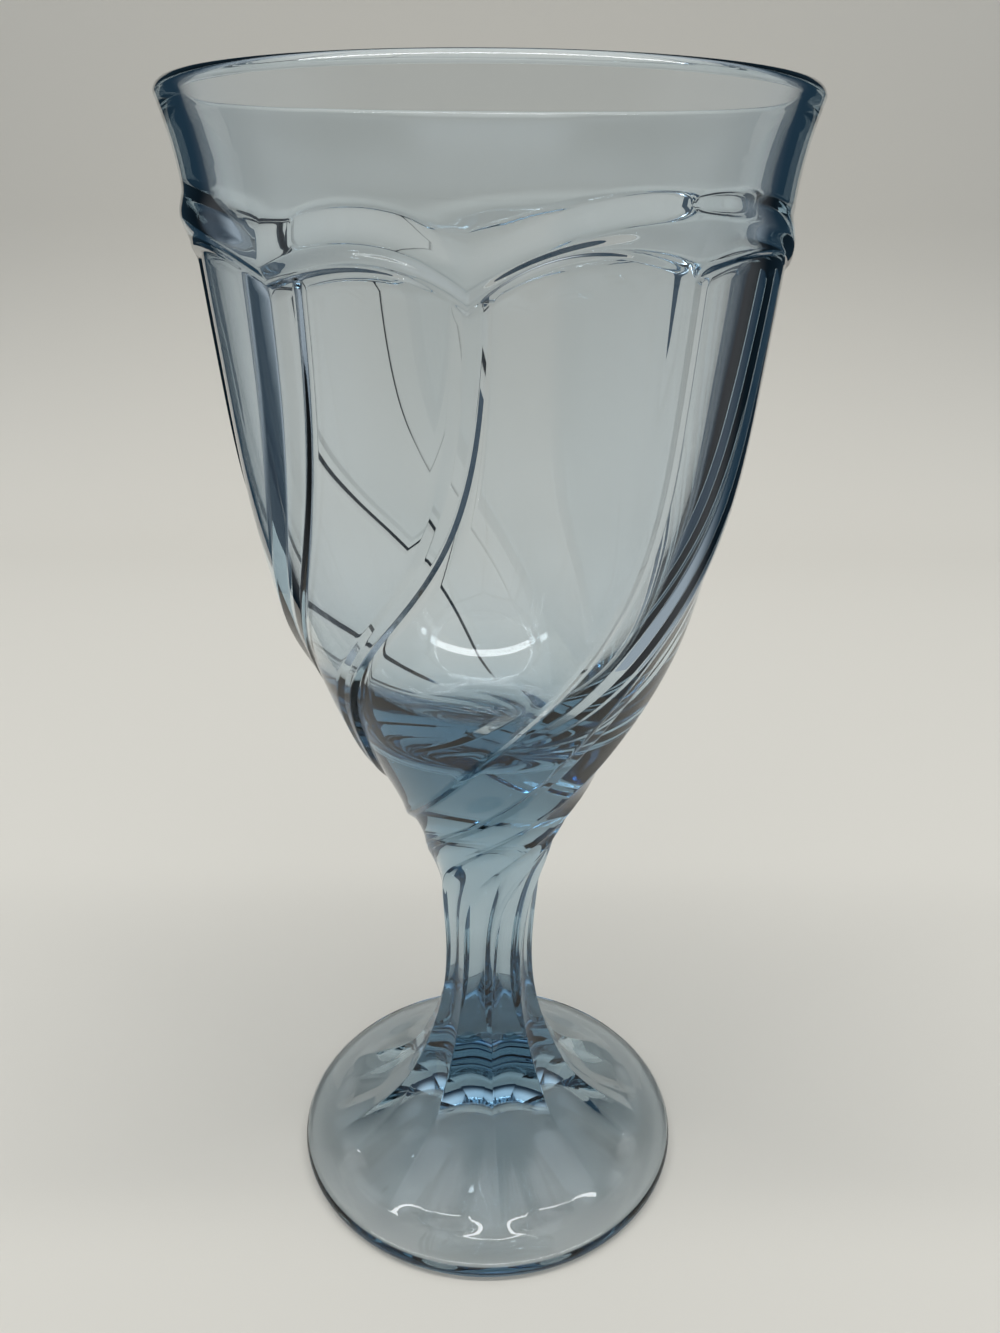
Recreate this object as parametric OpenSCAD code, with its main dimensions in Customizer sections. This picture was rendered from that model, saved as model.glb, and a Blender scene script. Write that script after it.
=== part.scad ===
// Pressed-glass water goblet with a scalloped shoulder and ribs that swirl into the stem.
// Millimetres, +Z up, origin on the table at the goblet's axis, front of the pattern towards -Y.

/* [Overall] */
// Height from the table to the top of the rim
goblet_h = 181; // [160:1:200]
// Outer diameter of the flared rim
rim_d = 87; // [80:0.5:94]

/* [Bowl] */
// Depth of the plain flared band, from the rim down to the shoulder
band_h = 16; // [12:0.5:20]
// Outer diameter at the shoulder
shoulder_d = 81.8; // [77:0.2:86]
// Height of the inside floor above the table
floor_h = 87.5; // [84:0.5:94]
// Height over which the inside floor rounds up into the wall
floor_rise = 25; // [20:0.5:30]
// Thickness of the rounded lip
lip_t = 3.2; // [2.6:0.1:3.8]
// Wall thickness at the shoulder, measured on a rib
wall_t = 3.4; // [2.8:0.1:4.2]
// How much thicker the wall is where it meets the floor
wall_gain = 0.7; // [0:0.1:1.4]

/* [Pattern] */
// How far the panels are sunk below the ribs and the band
panel_cut = 1.3; // [0.6:0.1:1.6]
// Width of the first rib of each group, at the shoulder
first_rib_w = 4.9; // [3:0.1:7]
// Width of the middle rib of each group, at the shoulder
middle_rib_w = 4.6; // [3:0.1:7]
// Width of the last rib of each group, at the shoulder
last_rib_w = 9.2; // [5:0.1:10]
// Height of the tallest shoulder arch above the deepest valley
scallop_h = 7; // [4:0.25:9]
// How far the rolled edge along the shoulder stands proud
shoulder_bead = 0.8; // [0:0.05:0.9]
// Height of the tightest part of the swirl
swirl_h = 70; // [67:0.5:73]

/* [Stem] */
// Smallest diameter of the stem
waist_d = 15.9; // [13:0.1:19]
// Height of the smallest diameter
waist_h = 42; // [38:0.5:46]
// Height of the fused joint between stem and bowl
bowl_joint_h = 60; // [57:0.5:63]
// Height of the fused joint between foot and stem
foot_joint_h = 16; // [13:0.5:20]
// Diameter of that lower joint
foot_joint_d = 29.6; // [26:0.2:33]
// Depth of the flutes between two sharp edges of the stem
flute_cut = 0.95; // [0.4:0.05:1.3]

/* [Foot] */
// Outer diameter of the foot
foot_d = 70.8; // [64:0.2:78]
// Thickness of the foot at its edge
edge_t = 3; // [2.4:0.1:4]
// Height of the foot's top surface where its sloping ridges run out
plate_h = 3.5; // [3.2:0.1:4.4]
// Width of the plain band round the foot, outside the flutes
plain_w = 4.9; // [3:0.1:7]
// Depth of the flutes on the foot
foot_flute_cut = 1.8; // [0.5:0.05:1.9]
// Width of the flat ring that the goblet rests on
rest_w = 5.4; // [3:0.1:8]
// Height of the bell-shaped hollow under the foot, at its middle
hollow_h = 10; // [4:0.25:10.5]

/* [Hidden] */

glass_blue = [0.62, 0.72, 0.78, 0.6];

// Counts: three like groups round the goblet, each of three ribs and three panels
groups = 3;
ribs = 3 * groups;
group_turn = 360 / groups;
rib_turn = 360 / ribs;

// Radii and heights that follow from the driving sizes
rim_r = rim_d / 2;
shoulder_r = shoulder_d / 2;
waist_r = waist_d / 2;
foot_r = foot_d / 2;
foot_joint_r = foot_joint_d / 2;
shoulder_h = goblet_h - band_h;
lip_r = lip_t / 2;
lip_h = goblet_h - lip_r;
joint_drop = waist_h - foot_joint_h;

// Outline of the bowl on its ribs, from the waist to the shoulder:
// shares of the rise and of the gain in radius between the two
bowl_shares = [[0, 0], [0.08, 0.017], [0.163, 0.072], [0.244, 0.193], [0.342, 0.39],
    [0.447, 0.59], [0.57, 0.763], [0.7, 0.88], [0.83, 0.94], [1, 1]];
last_station = len(bowl_shares) - 1;
shoulder_slope = 0.08;
band_power = 1.9;
floor_power = 3.2;

// Outline of the foot on its ridges, from the stem's joint to the plain band:
// shares of the gain in radius and of the drop in height
foot_shares = [[0, 0], [0.17, 0.27], [0.33, 0.445], [0.49, 0.58], [0.65, 0.71], [0.81, 0.84], [1, 1]];
last_foot_station = len(foot_shares) - 1;
stem_power = 2.07;
foot_slope_share = 0.76;
foot_tilt = 60;

// Ribs of a group at the shoulder and on the stem, in degrees from the front, to the right.
// On the way down each rib turns to the left: some on the bowl's wall, most above the stem.
rib_angles = [-3.2, 35.8, 80.6];
stem_angles = [-196, -156, -116];
wall_turn = 55;
wall_turn_shares = [0.68, 0.595, 0.655];
wall_turn_w_shares = [0.055, 0.055, 0.066];
root_turn_w = swirl_h * 0.086;
rib_ws = [first_rib_w, middle_rib_w, last_rib_w];
root_half_angle = 7;

// Heights where the ribs take their full width and where panels give way to flutes
rib_narrow_h = swirl_h + 0.5 * joint_drop;
rib_wide_h = swirl_h - 0.1 * joint_drop;
panel_foot_h = floor_h + 0.3 * floor_rise;
flute_top_h = waist_h + 0.5 * (bowl_joint_h - waist_h);

// Drops of the shoulder line and of the panels' arched tops below the shoulder height,
// as shares of the scallop height
first_valley_share = 0.93;
last_valley_share = 0.68;
wide_arch_share = -0.1;
narrow_arch_share = 0.3;
wide_arch_fullness = 0.18;
panel_corner_shares = [1.36, 0.91, 1.06];
panel_top_shares = [0.47, 0.54, 0.74];

// Across one bay, from rib to rib. A panel is deepest beside the rib on its left and rises to the
// crest of the next, near that rib's left edge. The rib falls from its crest to a strip and from
// there in a small step to the next panel. Places count from a rib's middle to its edge as 1.
bay_columns = 8;
crest_place = -0.77;
strip_place = -0.13;
step_places = [0.6, -0.13, 0.85];
edge_places = [0.6, 0.5, 0.85];
strip_shares = [0.3, 0.1, 0.72];
columns = ribs * bay_columns;

// Rows of the mesh
wall_rows = 30;
wall_row_power = 1.2;
step_row_shares = [0.25, 0.65, 1];
panel_step_share = 0.25;
roll_start_share = 0.3;
band_row_shares = [0.12, 0.3, 0.55, 0.8, 1];
band_bead_shares = [0.45, 0.08, 0, 0, 0];
lip_step = 30;
inside_rows = 17;
inside_row_power = 1.6;
stem_rows = 17;
foot_rows = 12;
flute_end_share = 0.8;

// Under the foot: the cut that leaves a true flat ring, and the bell-shaped hollow
edge_round = edge_t * 0.3;
floor_cut = edge_t * 0.4;
hollow_r = foot_r - edge_round - rest_w;
hollow_power = 0.8;
hollow_steps = 14;

function mix(a, b, t) = a + (b - a) * t;
function ease(t) = let(c = min(max(t, 0), 1)) c * c * (3 - 2 * c);
function falling(x) = 1 / (1 + exp(x));
function arch(t) = 4 * t * (1 - t);

// Height and radius of one station of the bowl's outline, and the slope there
function station(i) = [mix(waist_h, shoulder_h, bowl_shares[i][0]),
    mix(waist_r, shoulder_r, bowl_shares[i][1])];
function station_slope(i) = i == 0 ? 0
    : i == last_station ? shoulder_slope
    : (station(i + 1)[1] - station(i - 1)[1]) / (station(i + 1)[0] - station(i - 1)[0]);
function stretch(z, i = 0) = i >= last_station - 1 || z < station(i + 1)[0] ? i : stretch(z, i + 1);

// Cubic through two stations a and b with slopes m and n, at share t of the way
function cubic(a, b, m, n, t) = (2 * t ^ 3 - 3 * t ^ 2 + 1) * a + (t ^ 3 - 2 * t ^ 2 + t) * m
    + (3 * t ^ 2 - 2 * t ^ 3) * b + (t ^ 3 - t ^ 2) * n;
function bowl_r(z) = let(i = stretch(z), a = station(i), b = station(i + 1), rise = b[0] - a[0])
    cubic(a[1], b[1], rise * station_slope(i), rise * station_slope(i + 1), (z - a[0]) / rise);
function band_r(z) = mix(shoulder_r, rim_r, max((z - shoulder_h) / (lip_h - shoulder_h), 0) ^ band_power);

// Radius on a rib, an edge of the stem or the plain band
function top_r(z) = z < waist_h ? mix(waist_r, foot_joint_r, ((waist_h - z) / joint_drop) ^ stem_power)
    : z < shoulder_h ? bowl_r(z)
    : band_r(z);

// Angle of a rib at a height: two smooth turns, a slack one on the wall and a tight one at the root
function group_of(rib) = floor(rib / 3);
function kind_of(rib) = rib % 3;
function rib_angle(rib, z) = let(k = kind_of(rib), all_turn = rib_angles[k] - stem_angles[k])
    group_turn * group_of(rib) + rib_angles[k]
    - (all_turn - wall_turn) * falling((z - swirl_h) / root_turn_w)
    - wall_turn * falling((z / shoulder_h - wall_turn_shares[k]) / wall_turn_w_shares[k]);
function rib_half_angle(rib, z) = mix(root_half_angle, rib_ws[kind_of(rib)] / shoulder_r * 90 / PI,
    ease((z - rib_wide_h) / (rib_narrow_h - rib_wide_h)));

// Angle of a column of the mesh: on a rib, at its edge, across the panel and at the next crest
function column_rib(c) = floor(c / bay_columns);
function column_place(c) = c % bay_columns;
function column_angle(c, z) = let(
        r = column_rib(c), j = column_place(c),
        a = rib_angle(r, z), b = rib_angle(r + 1, z),
        ha = rib_half_angle(r, z), hb = rib_half_angle(r + 1, z))
    j == 0 ? a
    : j == 1 ? a + edge_places[kind_of(r)] * ha
    : j == 7 ? b + strip_place * hb
    : mix(a + ha, b + crest_place * hb, (j - 2) / 4);

// Share of the panels' depth at a place on a rib, and at a column
function rib_share(kind, place) = place < strip_place
    ? strip_shares[kind] * (place - crest_place) / (strip_place - crest_place)
    : mix(strip_shares[kind], 1, max(place - step_places[kind], 0) / (1 - step_places[kind]));
function panel_share(c) = let(j = column_place(c), kind = kind_of(column_rib(c)))
    j == 0 ? rib_share(kind, 0)
    : j == 1 ? rib_share(kind, edge_places[kind])
    : j == 7 ? strip_shares[kind_of(column_rib(c) + 1)]
    : (6 - j) / 4;

// Depth below the outline: rising panels on the bowl, round flutes on the stem
function flute_share(c, z) = let(a = rib_angle(column_rib(c), z), b = rib_angle(column_rib(c) + 1, z))
    arch((column_angle(c, z) - a) / (b - a));
function wall_cut(c, z) = mix(flute_cut * flute_share(c, z), panel_cut * panel_share(c),
    ease((z - flute_top_h) / (panel_foot_h - flute_top_h)));

// Height of the scalloped shoulder line and of the panels' arched tops at a column
function shoulder_line(c) = let(
        k = kind_of(column_rib(c)), g = group_turn * group_of(column_rib(c)),
        a = column_angle(c, goblet_h) - g,
        wide = k < 2,
        t = wide ? (a - rib_angles[0]) / (rib_angles[2] - rib_angles[0])
            : (a - rib_angles[2]) / (rib_angles[0] + group_turn - rib_angles[2]),
        valley = wide ? mix(first_valley_share, last_valley_share, t)
            : mix(last_valley_share, first_valley_share, t),
        top = wide ? wide_arch_share : narrow_arch_share,
        fullness = wide ? wide_arch_fullness : 0)
    shoulder_h - scallop_h * mix(valley, top, arch(t) * (1 + fullness * (1 - arch(t))));
function panel_line(c) = let(
        k = kind_of(column_rib(c)), g = group_turn * group_of(column_rib(c)),
        a = column_angle(c, goblet_h) - g,
        last = k == 2 ? rib_angles[0] + group_turn : rib_angles[k + 1],
        t = (a - rib_angles[k]) / (last - rib_angles[k]),
        corner = mix(panel_corner_shares[k], panel_corner_shares[(k + 1) % 3], t))
    shoulder_h - scallop_h * mix(corner, panel_top_shares[k], arch(t));

// Points of the mesh in cylindrical places; round plain parts have their columns evenly spread
function at(angle, r, z) = [r * sin(angle), -r * cos(angle), z];
function even_angle(c, first) = first + 360 * c / columns;
function wall_point(c, z) = at(column_angle(c, z), top_r(z) - wall_cut(c, z), z);
function level_ring(z) = [for (c = [0 : columns - 1]) wall_point(c, z)];

// Inside of the bowl: the outline less the wall, closed by a round floor
function inside_r(z) = let(
        t = min((z - floor_h) / floor_rise, 1),
        wall = wall_t + wall_gain * (shoulder_h - min(z, shoulder_h)) / (shoulder_h - floor_h),
        lip_share = ease((z - shoulder_h) / (lip_h - shoulder_h)))
    (top_r(z) - mix(wall, lip_t, lip_share)) * (1 - (1 - t) ^ floor_power) ^ (1 / floor_power);

// Rings of the bowl, up the outside, over the lip and down the inside
function wall_ring(share) = [for (c = [0 : columns - 1])
    wall_point(c, mix(bowl_joint_h, panel_line(c), share))];
function step_ring(share) = [for (c = [0 : columns - 1])
    let(z = mix(panel_line(c), shoulder_line(c), share),
        cut = 1 - ease(share / panel_step_share),
        roll = ease((share - roll_start_share) / (1 - roll_start_share)))
    at(column_angle(c, z), top_r(z) - wall_cut(c, z) * cut + shoulder_bead * roll, z)];
function band_ring(i) = [for (c = [0 : columns - 1])
    let(z = mix(shoulder_line(c), lip_h, band_row_shares[i]))
    at(mix(column_angle(c, goblet_h), even_angle(c, rib_angles[0]), band_row_shares[i]),
        top_r(z) + shoulder_bead * band_bead_shares[i], z)];
function plain_ring(r, z) = [for (c = [0 : columns - 1]) at(even_angle(c, rib_angles[0]), r, z)];
function inside_ring(i) = let(z = mix(floor_h, lip_h, (1 - i / inside_rows) ^ inside_row_power))
    plain_ring(inside_r(z), z);

bowl_rings = concat(
    [for (i = [0 : wall_rows]) wall_ring((i / wall_rows) ^ wall_row_power)],
    [for (share = step_row_shares) step_ring(share)],
    [for (i = [0 : len(band_row_shares) - 1]) band_ring(i)],
    [for (a = [lip_step : lip_step : 180 - lip_step])
        plain_ring(rim_r - lip_r + lip_r * cos(a), lip_h + lip_r * sin(a))],
    [for (i = [0 : inside_rows - 1]) inside_ring(i)]);

stem_rings = [for (i = [0 : stem_rows]) level_ring(mix(foot_joint_h, bowl_joint_h, i / stem_rows))];

// Top of the foot along one column: the stem's flare running out into a sloping skirt.
// A flute sinks sideways where the flare is steep and mostly downwards on the skirt.
plain_r = foot_r - plain_w;
function foot_station(i) = [mix(foot_joint_r, plain_r, foot_shares[i][0]),
    mix(foot_joint_h, plate_h, foot_shares[i][1])];
function foot_slope(i) = i == 0 ? -joint_drop / (foot_joint_r - waist_r) / stem_power
    : i == last_foot_station ? foot_slope_share * (plate_h - foot_joint_h) / (plain_r - foot_joint_r)
    : (foot_station(i + 1)[1] - foot_station(i - 1)[1]) / (foot_station(i + 1)[0] - foot_station(i - 1)[0]);
function foot_stretch(r, i = 0) = i >= last_foot_station - 1 || r < foot_station(i + 1)[0] ? i
    : foot_stretch(r, i + 1);
function foot_top_z(r) = let(
        i = foot_stretch(r), a = foot_station(i), b = foot_station(i + 1), run = b[0] - a[0])
    cubic(a[1], b[1], run * foot_slope(i), run * foot_slope(i + 1), (r - a[0]) / run);
function foot_ring(share) = share == 0 ? level_ring(foot_joint_h)
    : [for (c = [0 : columns - 1])
        let(r = mix(foot_joint_r, plain_r, share),
            cut = mix(flute_cut, foot_flute_cut, ease(2 * share)) * flute_share(c, foot_joint_h)
                * (1 - ease((share - flute_end_share) / (1 - flute_end_share))),
            tilt = foot_tilt * ease(3 * share))
        at(mix(column_angle(c, foot_joint_h), even_angle(c, stem_angles[0]), share),
            r - cut * cos(tilt), foot_top_z(r) - cut * sin(tilt))];
function edge_ring(r, z) = [for (c = [0 : columns - 1]) at(even_angle(c, stem_angles[0]), r, z)];

function hollow_point(share) = [hollow_r * share,
    hollow_h * (0.5 + 0.5 * cos(180 * share)) ^ hollow_power];

foot_rings = concat(
    [edge_ring(foot_r - 2 * edge_round, -floor_cut)],
    [edge_ring(foot_r - edge_round / 2, edge_round / 2)],
    [edge_ring(foot_r, edge_t / 2)],
    [for (a = [0 : lip_step : 90])
        edge_ring(foot_r - edge_round + edge_round * cos(a), edge_t - edge_round + edge_round * sin(a))],
    [for (i = [0 : foot_rows]) foot_ring(1 - i / foot_rows)]);

// Closed skin over a stack of rings, with a middle point at each end
module skin(rings, start, end) {
    n = len(rings);
    m = columns;
    points = concat([for (ring = rings, p = ring) p], [start, end]);
    sides = [for (k = [0 : n - 2], c = [0 : m - 1])
        let(a = k * m + c, b = k * m + (c + 1) % m)
        each [[a, a + m, b], [b, a + m, b + m]]];
    start_fan = [for (c = [0 : m - 1]) [n * m, c, (c + 1) % m]];
    end_fan = [for (c = [0 : m - 1]) [n * m + 1, (n - 1) * m + (c + 1) % m, (n - 1) * m + c]];
    polyhedron(points, concat(sides, start_fan, end_fan), convexity = 8);
}

module bowl() {
    color(glass_blue)
        skin(bowl_rings, [0, 0, bowl_joint_h], [0, 0, floor_h]);
}

module stem() {
    color(glass_blue)
        skin(stem_rings, [0, 0, foot_joint_h], [0, 0, bowl_joint_h]);
}

module foot() {
    color(glass_blue)
        difference() {
            skin(foot_rings, [0, 0, -floor_cut], [0, 0, foot_joint_h]);
            translate([-foot_d, -foot_d, -2 * floor_cut])
                cube([2 * foot_d, 2 * foot_d, 2 * floor_cut]);
            rotate_extrude($fn = 180)
                polygon(concat([[0, -floor_cut], [0, hollow_h]],
                    [for (i = [1 : hollow_steps]) hollow_point(i / hollow_steps)],
                    [[hollow_r, -floor_cut]]));
        }
}

bowl();
stem();
foot();
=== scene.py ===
"""Pressed-glass water goblet: blue-grey glass with a flared plain band, a scalloped shoulder
and nine ribs that swirl down the bowl into a fluted stem on a round foot. Metres, +Z up."""
from math import radians
import bpy
import numpy as np
from mathutils import Matrix


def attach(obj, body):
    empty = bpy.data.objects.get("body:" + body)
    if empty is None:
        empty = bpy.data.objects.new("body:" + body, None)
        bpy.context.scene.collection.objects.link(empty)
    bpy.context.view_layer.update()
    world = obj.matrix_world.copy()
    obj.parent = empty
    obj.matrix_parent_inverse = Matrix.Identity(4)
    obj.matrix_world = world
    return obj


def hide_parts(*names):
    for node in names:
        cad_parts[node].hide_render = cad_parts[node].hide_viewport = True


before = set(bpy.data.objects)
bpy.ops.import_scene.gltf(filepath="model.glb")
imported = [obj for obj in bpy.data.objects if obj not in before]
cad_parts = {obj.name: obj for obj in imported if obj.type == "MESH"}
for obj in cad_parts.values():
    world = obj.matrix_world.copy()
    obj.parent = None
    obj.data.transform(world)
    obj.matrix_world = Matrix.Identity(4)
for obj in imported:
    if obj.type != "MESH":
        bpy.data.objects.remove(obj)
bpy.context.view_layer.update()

# Sizes in millimetres, the same as the solids' own

GOBLET_H = 181.0
RIM_R = 43.47
SHOULDER_H = 165.0
SHOULDER_R = 40.9
SHOULDER_SLOPE = 0.08
BAND_POWER = 1.9
LIP_T = 3.2
LIP_R = LIP_T / 2
LIP_H = GOBLET_H - LIP_R

FLOOR_H = 87.5
FLOOR_RISE = 25.0
FLOOR_POWER = 3.2
WALL_T = 3.4
WALL_GAIN = 0.7

BOWL_JOINT_H = 60.0
WAIST_R = 7.95
WAIST_H = 42.0
FOOT_JOINT_H = 16.0
FOOT_JOINT_R = 14.8
STEM_POWER = 2.07
FLUTE_CUT = 0.95
FLUTE_TOP_H = 51.0

FOOT_R = 35.38
EDGE_T = 3.0
EDGE_ROUND = 1.3
PLATE_H = 3.5
PLAIN_R = 30.5
FOOT_FLUTE_CUT = 1.8
FOOT_TILT = 60
FOOT_SLOPE_IN = -1.85
FOOT_SLOPE_OUT = -0.6
FLUTE_END_SHARE = 0.8
HOLLOW_R = 29.1
HOLLOW_H = 10.0
HOLLOW_POWER = 0.8
REST_START = 0.3

# Outlines on the ribs: shares of the rise and of the gain in radius from the waist to the
# shoulder, then shares of the gain in radius and of the drop from the stem to the plain band

BOWL_SHARES = np.array([[0, 0], [0.08, 0.017], [0.163, 0.072], [0.244, 0.193], [0.342, 0.39],
                        [0.447, 0.59], [0.57, 0.763], [0.7, 0.88], [0.83, 0.94], [1, 1]])
FOOT_SHARES = np.array([[0, 0], [0.17, 0.27], [0.33, 0.445], [0.49, 0.58], [0.65, 0.71],
                        [0.81, 0.84], [1, 1]])

# Ribs of a group at the shoulder and on the stem, in degrees from the front, to the right

BAYS = 9
GROUP_TURN = 120.0
RIB_ANGLES = np.array([-3.2, 35.8, 80.6])
STEM_ANGLES = np.array([-196.0, -156.0, -116.0])
WALL_TURN = 55.0
WALL_TURN_HEIGHTS = SHOULDER_H * np.array([0.68, 0.595, 0.655])
WALL_TURN_WIDTHS = SHOULDER_H * np.array([0.055, 0.055, 0.066])
SWIRL_H = 70.0
ROOT_TURN_W = SWIRL_H * 0.086

# Widths of the ribs, and heights where their full width and the panels' full depth begin

RIB_WIDTHS = np.array([4.9, 4.6, 9.2])
ROOT_HALF_ANGLE = 7.0
RIB_WIDE_H = 67.2
RIB_NARROW_H = 82.8
PANEL_FOOT_H = 95.0
PANEL_CUT = 1.3

# Across a bay: places count from a rib's middle to its right edge as 1, to its left edge as -1

CREST_PLACE = -0.77
STRIP_PLACE = -0.13
STEP_PLACES = np.array([0.6, -0.13, 0.85])
STRIP_SHARES = np.array([0.3, 0.1, 0.72])

# Shoulder line and the panels' arched tops, as shares of the scallop height below the shoulder

SCALLOP_H = 7.0
FIRST_VALLEY = 0.93
LAST_VALLEY = 0.68
WIDE_ARCH = -0.1
NARROW_ARCH = 0.3
WIDE_FULLNESS = 0.18
PANEL_CORNERS = np.array([1.36, 0.91, 1.06, 1.36])
PANEL_TOPS = np.array([0.47, 0.54, 0.74])

# The rolled edge along the shoulder, as shares of the rows that carry it

SHOULDER_BEAD = 0.8
PANEL_STEP_SHARE = 0.25
ROLL_START_SHARE = 0.3
ROLL_END_SHARE = 0.25

# Columns of the surface: even steps over the panels and closer ones on the ribs

BAY_STEPS = 40
PANEL_START = 0.3
PANEL_END = 0.7
EDGE_POWER = 1.6

# Rows of the surface, from under the foot over the lip to the inside floor

HOLLOW_ROWS = 14
HOLLOW_START = 0.04
REST_ROWS = 4
EDGE_ROWS = 15
FOOT_ROWS = 35
STEM_ROWS = 41
WALL_ROWS = 72
WALL_ROW_POWER = 1.1
STEP_ROWS = 21
BAND_ROWS = 22
LIP_ROWS = 15
INSIDE_ROWS = 45
INSIDE_ROW_POWER = 1.8


def mix(a, b, t):
    """Straight mix of a and b at share t."""
    return a + (b - a) * t


def ease(t):
    """Smooth step: 3t^2 - 2t^3 on t held between 0 and 1."""
    t = np.clip(t, 0.0, 1.0)
    return t * t * (3 - 2 * t)


def falling(x):
    """Smooth fall from 1 to 0: 1 / (1 + e^x)."""
    return 1 / (1 + np.exp(x))


def arch(t):
    """Parabola of height 1 over t from 0 to 1: 4t(1 - t)."""
    return 4 * t * (1 - t)


def smooth_curve(xs, ys, slope_in, slope_out):
    """Second derivatives of the cubic spline through (xs, ys) with the given end slopes."""
    n = len(xs)
    h = np.diff(xs)
    m = np.zeros((n, n))
    v = np.zeros(n)
    for i in range(1, n - 1):
        m[i, i - 1:i + 2] = h[i - 1], 2 * (h[i - 1] + h[i]), h[i]
        v[i] = 6 * ((ys[i + 1] - ys[i]) / h[i] - (ys[i] - ys[i - 1]) / h[i - 1])
    m[0, :2] = 2 * h[0], h[0]
    v[0] = 6 * ((ys[1] - ys[0]) / h[0] - slope_in)
    m[-1, -2:] = h[-1], 2 * h[-1]
    v[-1] = 6 * (slope_out - (ys[-1] - ys[-2]) / h[-1])
    return np.linalg.solve(m, v)


def spline(xs, ys, bends, x):
    """Cubic spline through (xs, ys) at x, from its second derivatives at the stations."""
    i = np.clip(np.searchsorted(xs, x, side="right") - 1, 0, len(xs) - 2)
    h = xs[i + 1] - xs[i]
    a = (xs[i + 1] - x) / h
    b = (x - xs[i]) / h
    return (a * ys[i] + b * ys[i + 1]
            + ((a ** 3 - a) * bends[i] + (b ** 3 - b) * bends[i + 1]) * h * h / 6)


BOWL_Z = mix(WAIST_H, SHOULDER_H, BOWL_SHARES[:, 0])
BOWL_R = mix(WAIST_R, SHOULDER_R, BOWL_SHARES[:, 1])
BOWL_BENDS = smooth_curve(BOWL_Z, BOWL_R, 0.0, SHOULDER_SLOPE)

FOOT_SPAN = mix(FOOT_JOINT_R, PLAIN_R, FOOT_SHARES[:, 0])
FOOT_Z = mix(FOOT_JOINT_H, PLATE_H, FOOT_SHARES[:, 1])
FOOT_BENDS = smooth_curve(FOOT_SPAN, FOOT_Z, FOOT_SLOPE_IN, FOOT_SLOPE_OUT)


def top_radius(z):
    """Outline on the ribs: r = mix(waist, joint, drop^2.07) below the waist, the bowl's spline
    through ten stations, and the band's flare r = mix(shoulder, rim, rise^1.9)."""
    drop = np.maximum(WAIST_H - z, 0) / (WAIST_H - FOOT_JOINT_H)
    stem = mix(WAIST_R, FOOT_JOINT_R, drop ** STEM_POWER)
    bowl = spline(BOWL_Z, BOWL_R, BOWL_BENDS, np.clip(z, WAIST_H, SHOULDER_H))
    rise = np.maximum((z - SHOULDER_H) / (LIP_H - SHOULDER_H), 0)
    band = mix(SHOULDER_R, RIM_R, rise ** BAND_POWER)
    return np.where(z < WAIST_H, stem, np.where(z < SHOULDER_H, bowl, band))


def rib_angle(rib, z):
    """Degrees of a rib at height z: its shoulder angle less two smooth turns on the way down."""
    k = rib % 3
    whole = RIB_ANGLES[k] - STEM_ANGLES[k]
    return (GROUP_TURN * (rib // 3) + RIB_ANGLES[k]
            - (whole - WALL_TURN) * falling((z - SWIRL_H) / ROOT_TURN_W)
            - WALL_TURN * falling((z - WALL_TURN_HEIGHTS[k]) / WALL_TURN_WIDTHS[k]))


def rib_half_angle(rib, z):
    """Half the width of a rib in degrees, from the stem's edges out to the ribs' full widths."""
    full = RIB_WIDTHS[rib % 3] / SHOULDER_R * 90 / np.pi
    return mix(ROOT_HALF_ANGLE, full, ease((z - RIB_WIDE_H) / (RIB_NARROW_H - RIB_WIDE_H)))


COLUMN = np.arange(BAYS * BAY_STEPS)
RIB = COLUMN // BAY_STEPS
PLACE = (COLUMN % BAY_STEPS) / BAY_STEPS
ON_RIGHT = PLACE < PANEL_START
ON_LEFT = PLACE > PANEL_END
RIGHT_PLACE = 1 - np.clip(1 - PLACE / PANEL_START, 0, 1) ** EDGE_POWER
LEFT_PLACE = CREST_PLACE * (1 - PLACE) / (1 - PANEL_END)
PANEL_PLACE = (PLACE - PANEL_START) / (PANEL_END - PANEL_START)


def column_angle(z):
    """Angle of each column at height z: steps 1 - (1 - t)^1.6 that close up towards a rib's right
    edge, even steps over the panel to the next rib's crest and on to its middle."""
    a, b = rib_angle(RIB, z), rib_angle(RIB + 1, z)
    ha, hb = rib_half_angle(RIB, z), rib_half_angle(RIB + 1, z)
    panel = mix(a + ha, b + CREST_PLACE * hb, PANEL_PLACE)
    return np.where(ON_RIGHT, a + ha * RIGHT_PLACE, np.where(ON_LEFT, b + hb * LEFT_PLACE, panel))


def everywhere(z):
    """One height for all columns."""
    return np.full(len(COLUMN), z)


def rib_share(kind, place):
    """Share of the panels' depth across a rib: from its crest down to a strip, then a small step."""
    fall = STRIP_SHARES[kind] * (place - CREST_PLACE) / (STRIP_PLACE - CREST_PLACE)
    step = np.maximum(place - STEP_PLACES[kind], 0) / (1 - STEP_PLACES[kind])
    return np.where(place < STRIP_PLACE, fall, mix(STRIP_SHARES[kind], 1, step))


def wall_cut(z):
    """Depth below the outline: round flutes on the stem, 4t(1 - t), that turn into panels which
    rise to the right, 1 - t."""
    a, b = rib_angle(RIB, z), rib_angle(RIB + 1, z)
    flute = FLUTE_CUT * arch((column_angle(z) - a) / (b - a))
    left_rib, right_rib = rib_share(RIB % 3, RIGHT_PLACE), rib_share((RIB + 1) % 3, LEFT_PLACE)
    share = np.where(ON_RIGHT, left_rib, np.where(ON_LEFT, right_rib, 1 - PANEL_PLACE))
    return mix(flute, PANEL_CUT * share, ease((z - FLUTE_TOP_H) / (PANEL_FOOT_H - FLUTE_TOP_H)))


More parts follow.
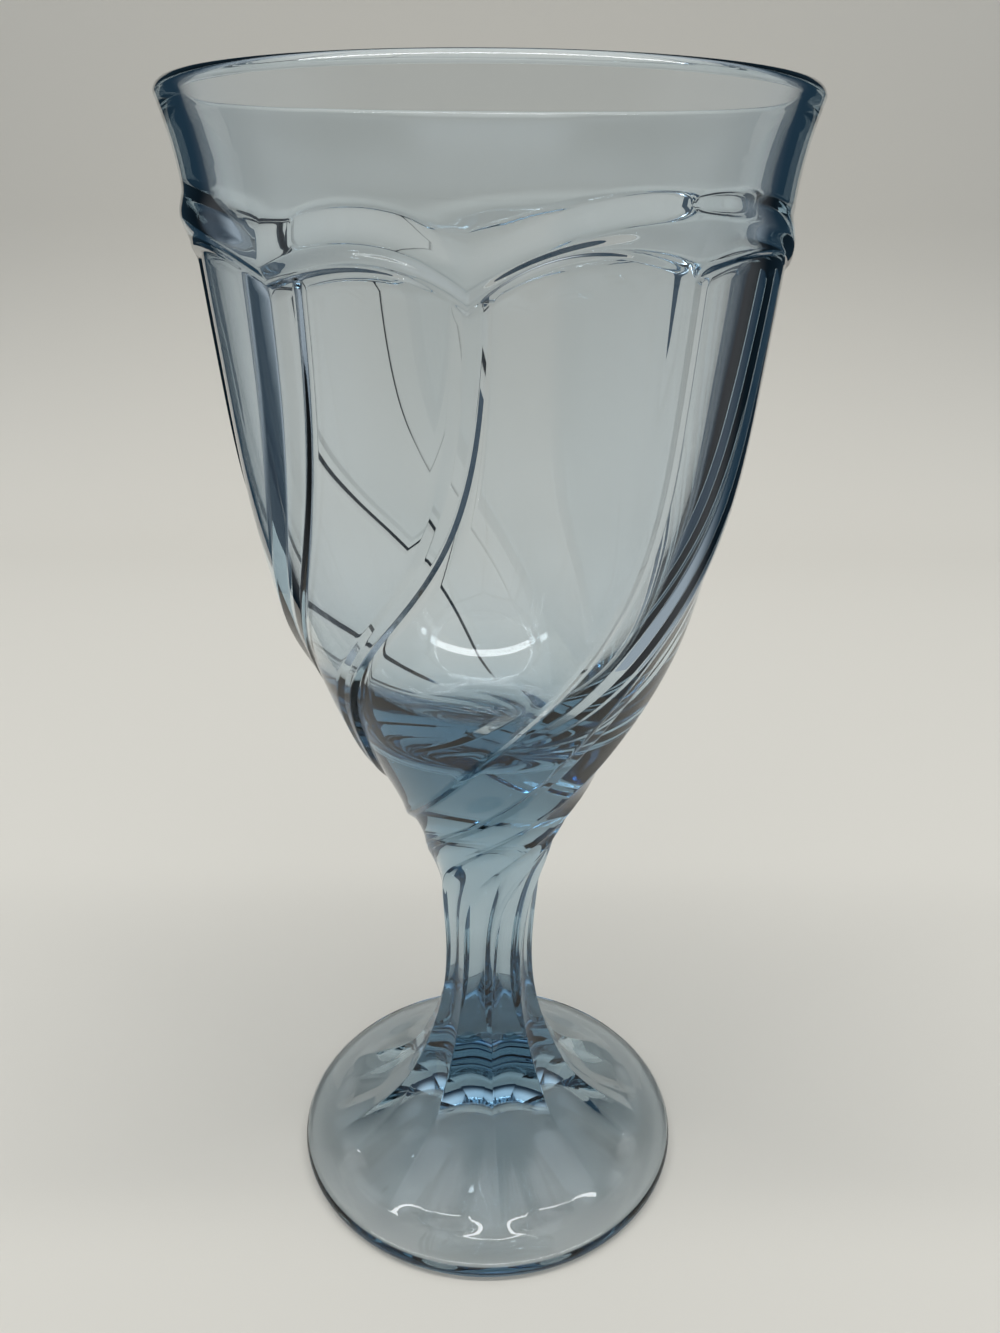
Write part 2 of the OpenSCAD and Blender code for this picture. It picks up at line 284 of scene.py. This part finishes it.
def scallop_lines():
    """Heights of the shoulder line and of the panels' arched tops: parabolas between ribs, the
    wide arch made fuller by a(1 + 0.18(1 - a))."""
    k = RIB % 3
    a = column_angle(everywhere(GOBLET_H)) - GROUP_TURN * (RIB // 3)
    ends = np.append(RIB_ANGLES, RIB_ANGLES[0] + GROUP_TURN)
    wide = k < 2
    t = np.where(wide, (a - ends[0]) / (ends[2] - ends[0]), (a - ends[2]) / (ends[3] - ends[2]))
    valley = np.where(wide, mix(FIRST_VALLEY, LAST_VALLEY, t), mix(LAST_VALLEY, FIRST_VALLEY, t))
    rise = arch(t) * (1 + np.where(wide, WIDE_FULLNESS, 0) * (1 - arch(t)))
    top = np.where(wide, WIDE_ARCH, NARROW_ARCH)
    shoulder = SHOULDER_H - SCALLOP_H * mix(valley, top, rise)
    t = (a - ends[k]) / (ends[k + 1] - ends[k])
    corner = mix(PANEL_CORNERS[k], PANEL_CORNERS[k + 1], t)
    return shoulder, SHOULDER_H - SCALLOP_H * mix(corner, PANEL_TOPS[k], arch(t))


def at(angle, r, z):
    """Points at an angle in degrees from the front, a radius and a height."""
    a = np.radians(angle)
    return np.stack([r * np.sin(a), -r * np.cos(a), z + 0 * a], axis=-1)


def inside_radius(z):
    """Outline less the wall, closed below by a superellipse of power 3.2."""
    t = np.clip((z - FLOOR_H) / FLOOR_RISE, 0, 1)
    depth = SHOULDER_H - np.minimum(z, SHOULDER_H)
    wall = WALL_T + WALL_GAIN * depth / (SHOULDER_H - FLOOR_H)
    lip = ease((z - SHOULDER_H) / (LIP_H - SHOULDER_H))
    return (top_radius(z) - mix(wall, LIP_T, lip)) * (1 - (1 - t) ** FLOOR_POWER) ** (1 / FLOOR_POWER)


def hollow_top(r):
    """Height of the hollow under the foot: a bell, cosine from its middle out to the rest ring."""
    return HOLLOW_H * ((1 + np.cos(np.pi * r / HOLLOW_R)) / 2) ** HOLLOW_POWER


def goblet_rings():
    """Rings of the whole skin: under the foot, round its edge, up the stem and the bowl,
    over the lip and down the inside to the floor."""
    even = RIB_ANGLES[0] + 360.0 * COLUMN / len(COLUMN)
    even_low = STEM_ANGLES[0] + 360.0 * COLUMN / len(COLUMN)
    high_angle = column_angle(everywhere(GOBLET_H))
    low_angle = column_angle(everywhere(FOOT_JOINT_H))
    low_rib, low_next = rib_angle(RIB, FOOT_JOINT_H), rib_angle(RIB + 1, FOOT_JOINT_H)
    low_cut = arch((low_angle - low_rib) / (low_next - low_rib))
    shoulder, panel = scallop_lines()
    rings = []
    for r in HOLLOW_R * np.linspace(HOLLOW_START, 1, HOLLOW_ROWS):
        rings.append(at(even_low, r, hollow_top(r)))
    for r in np.linspace(HOLLOW_R + REST_START, FOOT_R - EDGE_ROUND, REST_ROWS):
        rings.append(at(even_low, r, 0.0))
    for a in np.pi * np.linspace(0, 1, EDGE_ROWS)[1:]:
        rings.append(at(even_low, FOOT_R - EDGE_ROUND + EDGE_ROUND * np.sin(a),
                        EDGE_T / 2 * (1 - np.cos(a))))
    for share in np.linspace(1, 0, FOOT_ROWS)[:-1]:
        r = mix(FOOT_JOINT_R, PLAIN_R, share)
        end = 1 - ease((share - FLUTE_END_SHARE) / (1 - FLUTE_END_SHARE))
        cut = mix(FLUTE_CUT, FOOT_FLUTE_CUT, ease(2 * share)) * end * low_cut
        tilt = np.radians(FOOT_TILT) * ease(3 * share)
        z = spline(FOOT_SPAN, FOOT_Z, FOOT_BENDS, r)
        rings.append(at(mix(low_angle, even_low, share), r - cut * np.cos(tilt), z - cut * np.sin(tilt)))
    for height in np.linspace(FOOT_JOINT_H, BOWL_JOINT_H, STEM_ROWS)[:-1]:
        z = everywhere(height)
        rings.append(at(column_angle(z), top_radius(z) - wall_cut(z), z))
    for share in np.linspace(0, 1, WALL_ROWS) ** WALL_ROW_POWER:
        z = mix(BOWL_JOINT_H, panel, share)
        rings.append(at(column_angle(z), top_radius(z) - wall_cut(z), z))
    for share in np.linspace(0, 1, STEP_ROWS)[1:]:
        z = mix(panel, shoulder, share)
        cut = 1 - ease(share / PANEL_STEP_SHARE)
        bead = SHOULDER_BEAD * ease((share - ROLL_START_SHARE) / (1 - ROLL_START_SHARE))
        rings.append(at(column_angle(z), top_radius(z) - wall_cut(z) * cut + bead, z))
    for share in np.linspace(0, 1, BAND_ROWS)[1:]:
        z = mix(shoulder, LIP_H, share)
        bead = SHOULDER_BEAD * (1 - ease(share / ROLL_END_SHARE))
        rings.append(at(mix(high_angle, even, share), top_radius(z) + bead, z))
    for a in np.radians(np.linspace(0, 180, LIP_ROWS))[1:-1]:
        rings.append(at(even, RIM_R - LIP_R + LIP_R * np.cos(a), LIP_H + LIP_R * np.sin(a)))
    for share in np.linspace(1, 0, INSIDE_ROWS)[:-1]:
        z = mix(FLOOR_H, LIP_H, share ** INSIDE_ROW_POWER)
        rings.append(at(even, inside_radius(z), z))
    return np.array(rings)


def placed(name, data):
    """A new object in the scene."""
    item = bpy.data.objects.new(name, data)
    bpy.context.scene.collection.objects.link(item)
    return item


def smooth_piece(name, points, faces):
    """A smooth-shaded mesh object."""
    mesh = bpy.data.meshes.new(name)
    mesh.from_pydata(points, [], faces)
    mesh.update()
    mesh.shade_smooth()
    return placed(name, mesh)


def grid_faces(rows, columns, spans):
    """Four-sided faces over a grid of points; as many spans as columns closes it round."""
    k, c = np.meshgrid(np.arange(rows - 1), np.arange(spans), indexing="ij")
    low, high, d = k * columns, (k + 1) * columns, (c + 1) % columns
    return np.stack([low + c, low + d, high + d, high + c], -1).reshape(-1, 4).tolist()


def closed_skin(name, rings, start_z, end_z):
    """Closed mesh over a stack of rings with a middle point at each end; faces point outwards."""
    n, m = rings.shape[:2]
    points = np.concatenate([rings.reshape(-1, 3), [[0, 0, start_z], [0, 0, end_z]]]) / 1000
    c = np.arange(m)
    d = (c + 1) % m
    start = np.stack([np.full(m, n * m), d, c], -1).tolist()
    end = np.stack([np.full(m, n * m + 1), (n - 1) * m + c, (n - 1) * m + d], -1).tolist()
    return smooth_piece(name, points.tolist(), grid_faces(n, m, m) + start + end)


class Shade:
    """A shader socket with operators: an expression on it adds its Math nodes."""

    def __init__(self, tree, socket):
        self.tree, self.socket = tree, socket

    def _math(self, operation, *values):
        return Shade(self.tree, node(self.tree, "ShaderNodeMath", {"operation": operation}, *values))

    def __add__(self, other):
        return self._math("ADD", self, other)

    def __rsub__(self, other):
        return self._math("SUBTRACT", other, self)

    def __mul__(self, other):
        return self._math("MULTIPLY", self, other)


def node(tree, kind, settings=None, *values, out=0, **named):
    """Add a node: its settings first, then its sockets by place or by name; gives one output."""
    made = tree.nodes.new(kind)
    for key, value in (settings or {}).items():
        setattr(made, key, value)
    wanted = list(enumerate(values)) + [(k.replace("_", " "), v) for k, v in named.items()]
    for key, value in wanted:
        if isinstance(value, Shade):
            tree.links.new(value.socket, made.inputs[key])
        elif isinstance(value, bpy.types.NodeSocket):
            tree.links.new(value, made.inputs[key])
        else:
            made.inputs[key].default_value = value
    return made.outputs[out] if made.outputs else None


def fresh_material(name):
    """A new material with an empty node tree."""
    material = bpy.data.materials.new(name)
    material.use_nodes = True
    material.node_tree.nodes.clear()
    return material, material.node_tree


def pressed_glass():
    """Clear blue-grey glass: smooth, with the faint waviness of pressing, tinted by its depth."""
    material, tree = fresh_material("blue_grey_pressed_glass")
    place = node(tree, "ShaderNodeTexCoord", out="Object")
    wave = node(tree, "ShaderNodeTexNoise", {}, Vector=place, Scale=90.0, Detail=1.0)
    normal = node(tree, "ShaderNodeBump", {}, Strength=0.12, Distance=0.0002, Height=wave)
    glass = node(tree, "ShaderNodeBsdfPrincipled", {}, Base_Color=(1.0, 1.0, 1.0, 1), Roughness=0.01,
                 IOR=1.52, Transmission_Weight=1.0, Normal=normal)
    depth = node(tree, "ShaderNodeVolumeAbsorption", {}, Color=(0.48, 0.66, 0.755, 1), Density=90.0)
    node(tree, "ShaderNodeOutputMaterial", {}, Surface=glass, Volume=depth)
    return material


def pale_paper():
    """Pale matt paper."""
    material, tree = fresh_material("pale_paper")
    paper = node(tree, "ShaderNodeBsdfDiffuse", {}, Color=(0.63, 0.60, 0.535, 1))
    node(tree, "ShaderNodeOutputMaterial", {}, Surface=paper)
    return material


goblet = closed_skin("goblet_glass", goblet_rings(), HOLLOW_H, FLOOR_H)
goblet.data.materials.append(pressed_glass())
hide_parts("bowl", "stem", "foot")
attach(goblet, "root")

# The backdrop, in metres: a flat table, a round bend and a wall

TABLE_FRONT = -0.12
TABLE_MIDDLE = 0.2
BEND_START = 0.38
BEND_R = 0.16
WALL_TOP = 0.36
UNDER_FOOT = 0.0002
SHEET_HALF_W = 0.118
SHEET_SPREAD = 0.41
SHEET_COLUMNS = 13


def table_and_wall():
    """Table and wall in one sheet: flat, a quarter bend, then straight up. It widens to the back,
    half width = 0.118 + 0.41 y, so that little more than the camera's own view is pale."""
    across = np.linspace(-1, 1, SHEET_COLUMNS)
    bend = np.radians(np.linspace(0, 90, 13))
    back = BEND_START + BEND_R
    y = np.concatenate([[TABLE_FRONT, 0.0, TABLE_MIDDLE], BEND_START + BEND_R * np.sin(bend), [back]])
    z = np.concatenate([[0, 0, 0], BEND_R - BEND_R * np.cos(bend), [WALL_TOP]]) - UNDER_FOOT
    y, z = y[:, None] + 0 * across, z[:, None] + 0 * across
    points = np.stack([across * (SHEET_HALF_W + SHEET_SPREAD * y), y, z], -1)
    faces = grid_faces(len(y), SHEET_COLUMNS, SHEET_COLUMNS - 1)
    sheet = smooth_piece("table_and_wall", points.reshape(-1, 3).tolist(), faces)
    sheet.data.materials.append(pale_paper())


table_and_wall()


def ceiling_strip():
    """One long lamp overhead, for the small highlights in the bowl and on the foot."""
    lamp = bpy.data.lights.new("ceiling_strip", "AREA")
    lamp.shape = "RECTANGLE"
    lamp.size, lamp.size_y = 1.4, 0.08
    lamp.energy = 4.5
    placed("ceiling_strip", lamp).location = (0.0, -0.12, 0.9)


ceiling_strip()

# Levels and colours of the room

CEILING_LEVEL = 1.25
FRONT_LEVEL = 0.5
SIDE_LEVEL = 0.32
CEILING_WHITE = (0.95, 0.97, 1.0, 1)
WALL_NAVY = (0.018, 0.04, 0.062, 1)
PAPER = (0.64, 0.625, 0.57, 1)


def soft_room():
    """World by direction: a pale ceiling over navy walls that are pale at the sides, and plain
    paper where only the camera looks."""
    room = bpy.data.worlds.new("soft_room")
    bpy.context.scene.world = room
    room.use_nodes = True
    tree = room.node_tree
    tree.nodes.clear()

    def ramp(value, start, end, at_start=0.0, at_end=1.0):
        return Shade(tree, node(tree, "ShaderNodeMapRange", {"interpolation_type": "SMOOTHSTEP"},
                                value, start, end, at_start, at_end))

    parts = tree.nodes.new("ShaderNodeSeparateXYZ")
    tree.links.new(node(tree, "ShaderNodeTexCoord", out="Generated"), parts.inputs[0])
    right, back, up = (Shade(tree, part) for part in parts.outputs)

    # The ceiling is darker low down behind the wall and out at the sides
    behind = ramp(back, 0.2, 0.6) * ramp(up, 0.6, 0.9, 1.0, 0.0)
    beyond = ramp(right * right, 0.12, 0.4) * ramp(up, 0.65, 0.9, 1.0, 0.0)
    high = ramp(up, 0.3, 0.7)
    ceiling = high * (1 - behind) * (1 - beyond)
    # A softer glow stands before the goblet, and a pale belt at its sides
    front = ramp(up, 0.0, 0.35) * ramp(back, -0.1, -0.7) * (1 - high) * FRONT_LEVEL
    belt = ramp(back, 0.62, 0.35) * ramp(back, -0.3, -0.75, 1.0, 0.3) * ramp(up, 0.25, 0.45, 1.0, 0.0)
    level = (ceiling + front + belt * SIDE_LEVEL) * CEILING_LEVEL

    glow = node(tree, "ShaderNodeBackground", {}, Color=CEILING_WHITE, Strength=level)
    walls = node(tree, "ShaderNodeBackground", {}, Color=WALL_NAVY, Strength=1.0)
    light = node(tree, "ShaderNodeAddShader", {}, glow, walls)
    paper = node(tree, "ShaderNodeBackground", {}, Color=PAPER, Strength=1.0)
    seen = node(tree, "ShaderNodeLightPath", out="Is Camera Ray")
    both = node(tree, "ShaderNodeMixShader", {}, seen, light, paper)
    node(tree, "ShaderNodeOutputWorld", {}, Surface=both)


soft_room()

# The camera stands where the photograph was taken, 23 degrees down

CAMERA_PLACE = (0.0, -0.163057, 0.16661)
CAMERA_LENS = 29.26
CAMERA_TURN = -0.01073
CAMERA_TILT = radians(67.03)
CAMERA_ROLL = 0.00699

camera = bpy.data.cameras.new("camera")
camera.lens = CAMERA_LENS
camera.sensor_width = 36.0
camera.clip_start = 0.01
view = placed("camera", camera)
view.location = CAMERA_PLACE
view.rotation_euler = (Matrix.Rotation(CAMERA_TURN, 3, "Z") @ Matrix.Rotation(CAMERA_TILT, 3, "X")
                       @ Matrix.Rotation(CAMERA_ROLL, 3, "Z")).to_euler()
bpy.context.scene.camera = view
bpy.context.scene.view_settings.view_transform = "Standard"
